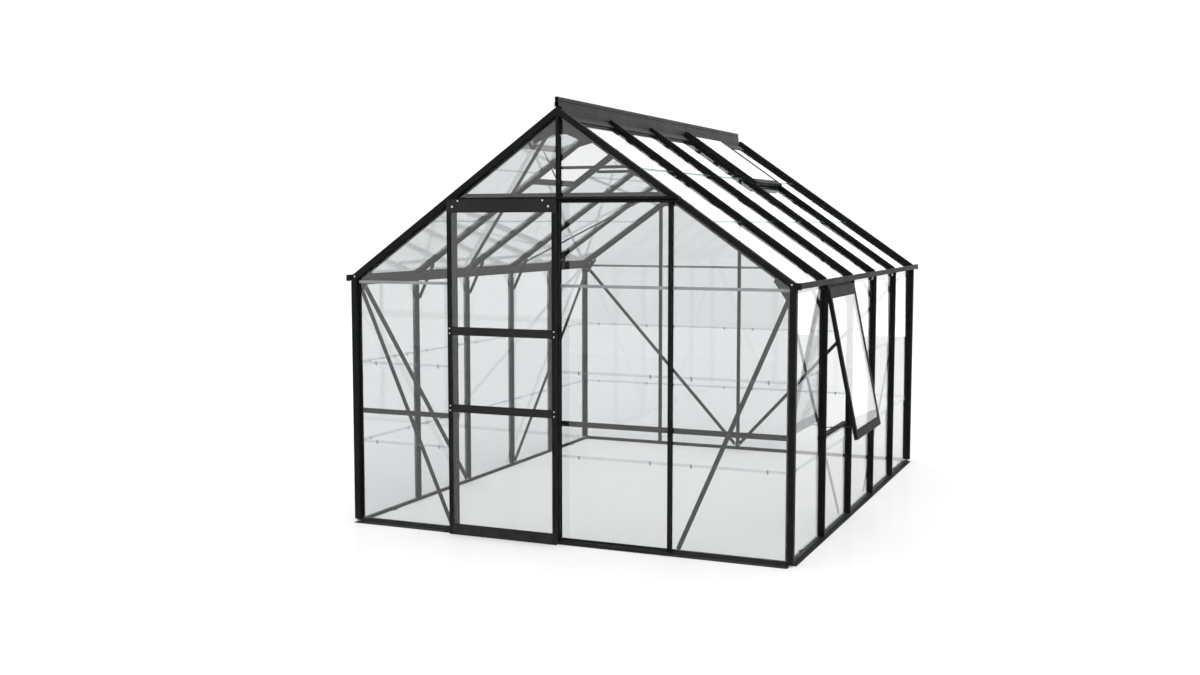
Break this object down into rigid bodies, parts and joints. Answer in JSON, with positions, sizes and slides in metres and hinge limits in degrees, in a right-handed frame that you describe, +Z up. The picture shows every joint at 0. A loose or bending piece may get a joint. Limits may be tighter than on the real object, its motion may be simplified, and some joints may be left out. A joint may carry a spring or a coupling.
{
  "type": "greenhouse",
  "caption": "Walk-in glazed greenhouse with a gable roof, black aluminium frame, sliding front door, opening side window and roof vents.",
  "frame": {"origin": "on the ground under the middle of the front gable's outer face, on the underside of the front sill", "axes": "+X to the right across the gable seen from the door, +Y from the front gable to the rear gable along the ridge, +Z up"},
  "size_m": [2.7399, 3.263, 2.332],
  "materials": {
    "black_powder_coat": "satin black powder-coated aluminium extrusion",
    "black_plate": "satin black powder-coated flat strip and plate",
    "black_pvc": "satin black extruded bar cap and moulded gutter end",
    "grey_pvc": "grey glazing strip",
    "nylon": "natural nylon wheel or slide",
    "bright_steel": "bright bolt, clip or axle",
    "glass": "clear 3 mm horticultural glass"
  },
  "bodies": {
    "frame": {"bar_caps": "black_pvc", "collar_ties": "black_powder_coat", "corner_posts": "black_powder_coat", "door_track": "black_powder_coat", "frame_bolts": "bright_steel", "front_gable_glass": "glass", "front_mid_rails": "black_powder_coat", "front_sill": "black_powder_coat", "gable_bars": "black_powder_coat", "gable_braces": "black_plate", "gable_headers": "black_powder_coat", "glazing_clips": "bright_steel", "glazing_strips": "grey_pvc", "gusset_plates": "black_plate", "gutter_end_caps": "black_pvc", "knee_braces": "black_plate", "left_gutter": "black_powder_coat", "left_roof_glass": "glass", "left_sill": "black_powder_coat", "left_wall_glass": "glass", "rafters": "black_powder_coat", "rear_gable_glass": "glass", "rear_sill": "black_powder_coat", "ridge_bar": "black_powder_coat", "ridge_cap": "black_powder_coat", "right_gutter": "black_powder_coat", "right_roof_glass": "glass", "right_sill": "black_powder_coat", "right_wall_glass": "glass", "roof_bars": "black_powder_coat", "roof_braces": "black_plate", "sash_hinge_rails": "black_powder_coat", "sash_sills": "black_powder_coat", "side_bars": "black_powder_coat", "side_braces": "black_plate", "sill_corner_brackets": "black_plate", "stay_pegs": "bright_steel"},
    "door": {"door_bottom_rail": "black_powder_coat", "door_glass": "glass", "door_guides": "nylon", "door_mid_rails": "black_powder_coat", "door_screws": "bright_steel", "door_stiles": "black_powder_coat", "door_top_rail": "black_powder_coat", "roller_axles": "bright_steel"},
    "left_roller": {"left_roller": "nylon"},
    "right_roller": {"right_roller": "nylon"},
    "window": {"window_rails": "black_powder_coat", "window_stiles": "black_powder_coat", "window_glass": "glass"},
    "window_stay": {"window_stay": "black_plate"},
    "left_vent": {"left_vent_rails": "black_powder_coat", "left_vent_stiles": "black_powder_coat", "left_vent_glass": "glass"},
    "left_vent_stay": {"left_vent_stay": "black_plate"},
    "right_vent": {"right_vent_rails": "black_powder_coat", "right_vent_stiles": "black_powder_coat", "right_vent_glass": "glass"},
    "right_vent_stay": {"right_vent_stay": "black_plate"}
  },
  "joints": [
    {"name": "door_slide", "type": "slide", "parent": "frame", "child": "door", "axis": [1, 0, 0], "range_m": [0, 0.6]},
    {"name": "left_roller_spin", "type": "hinge", "parent": "door", "child": "left_roller", "pos_m": [-0.556, -0.017, 1.8008], "axis": [0, 1, 0], "range_deg": [0, 3126]},
    {"name": "right_roller_spin", "type": "hinge", "parent": "door", "child": "right_roller", "pos_m": [-0.057, -0.017, 1.8008], "axis": [0, 1, 0], "range_deg": [0, 3126]},
    {"name": "window_hinge", "type": "hinge", "parent": "frame", "child": "window", "pos_m": [1.26, 0.962, 1.358], "axis": [0, -1, 0], "range_deg": [-11.7, 4.3]},
    {"name": "window_stay_pivot", "type": "hinge", "parent": "window", "child": "window_stay", "pos_m": [1.40717, 0.962, 0.56844], "axis": [0, -1, 0], "range_deg": [-2.8, 7.4]},
    {"name": "left_vent_hinge", "type": "hinge", "parent": "frame", "child": "left_vent", "pos_m": [-0.02297, 0.962, 2.26528], "axis": [0, 1, 0], "range_deg": [-21, 3]},
    {"name": "left_vent_stay_pivot", "type": "hinge", "parent": "left_vent", "child": "left_vent_stay", "pos_m": [-0.54597, 0.962, 2.11839], "axis": [0, 1, 0], "range_deg": [-1.9, 12.9]},
    {"name": "right_vent_hinge", "type": "hinge", "parent": "frame", "child": "right_vent", "pos_m": [0.02297, 2.206, 2.26528], "axis": [0, -1, 0], "range_deg": [0, 24]},
    {"name": "right_vent_stay_pivot", "type": "hinge", "parent": "right_vent", "child": "right_vent_stay", "pos_m": [0.4586, 2.206, 1.94072], "axis": [0, -1, 0], "range_deg": [-14.7, 0.1]}
  ],
  "couplings": [
    {"joint": "left_roller_spin", "follows": "door_slide", "rad_per_m": 90.909},
    {"joint": "right_roller_spin", "follows": "door_slide", "rad_per_m": 90.909},
    {"joint": "window_stay_pivot", "follows": "window_hinge", "ratio": -0.625},
    {"joint": "left_vent_stay_pivot", "follows": "left_vent_hinge", "ratio": -0.61},
    {"joint": "right_vent_stay_pivot", "follows": "right_vent_hinge", "ratio": -0.61}
  ]
}
